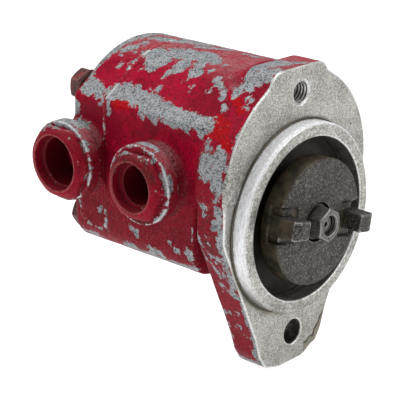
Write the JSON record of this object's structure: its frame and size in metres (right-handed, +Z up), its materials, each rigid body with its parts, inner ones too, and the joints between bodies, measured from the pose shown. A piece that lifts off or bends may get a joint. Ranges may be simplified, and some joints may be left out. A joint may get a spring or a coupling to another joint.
{
  "type": "hydraulic gear pump",
  "caption": "Red-painted external gear pump with a two-bolt pilot flange, a tang drive coupling and two side ports with hexagon adapters",
  "frame": {"origin": "centre of the mounting pilot, in the plane of the flange's mounting face, on the drive shaft's axis", "axes": "+Z up through the tapped flange hole and the idler shaft; the shafts run along Y and the drive end faces -Y; both ports face -X"},
  "size_m": [0.1046, 0.1257, 0.1314],
  "materials": {
    "painted_housing": "worn red enamel on cast aluminium, with many sharp-edged chips down to grey metal",
    "port_fitting": "red enamel over steel, brown dirt in the bores",
    "oiled_steel": "dark oily steel with brighter worn edges",
    "ground_steel": "ground and hardened steel",
    "rusty_screw_steel": "dark brown rusty steel with traces of red paint",
    "bearing_bronze": "turned bearing bronze",
    "block_aluminium": "machined aluminium",
    "black_rubber": "black nitrile rubber"
  },
  "bodies": {
    "housing": {"body_housing": "painted_housing", "rear_cover": "painted_housing", "pressure_port_adapter": "port_fitting", "suction_port_adapter": "port_fitting", "pressure_port_oring": "black_rubber", "suction_port_oring": "black_rubber", "front_bearing_block": "block_aluminium", "rear_bearing_block": "block_aluminium", "front_block_seal": "black_rubber", "rear_block_seal": "black_rubber", "front_drive_bush": "bearing_bronze", "front_idler_bush": "bearing_bronze", "rear_drive_bush": "bearing_bronze", "rear_idler_bush": "bearing_bronze", "shaft_seal": "black_rubber", "seal_retaining_ring": "ground_steel", "cover_oring": "black_rubber", "dowel_pin_1": "ground_steel", "dowel_pin_2": "ground_steel", "cover_washer_1": "rusty_screw_steel", "cover_washer_2": "rusty_screw_steel", "cover_washer_3": "rusty_screw_steel", "cover_washer_4": "rusty_screw_steel", "cover_screw_1": "rusty_screw_steel", "cover_screw_2": "rusty_screw_steel", "cover_screw_3": "rusty_screw_steel", "cover_screw_4": "rusty_screw_steel"},
    "drive_group": {"drive_shaft": "ground_steel", "drive_gear": "ground_steel", "drive_gear_key": "oiled_steel", "drive_dog": "oiled_steel", "dog_key": "oiled_steel", "dog_lock_washer": "oiled_steel", "dog_nut": "oiled_steel"},
    "idler_group": {"idler_shaft": "ground_steel", "idler_gear": "ground_steel"}
  },
  "joints": [
    {"name": "drive_spin", "type": "hinge", "parent": "housing", "child": "drive_group", "pos_m": [0, 0, 0], "axis": [0, -1, 0], "continuous": true},
    {"name": "idler_spin", "type": "hinge", "parent": "housing", "child": "idler_group", "pos_m": [0, 0, 0.033], "axis": [0, -1, 0], "continuous": true}
  ],
  "couplings": [
    {"joint": "idler_spin", "follows": "drive_spin", "ratio": -1}
  ]
}
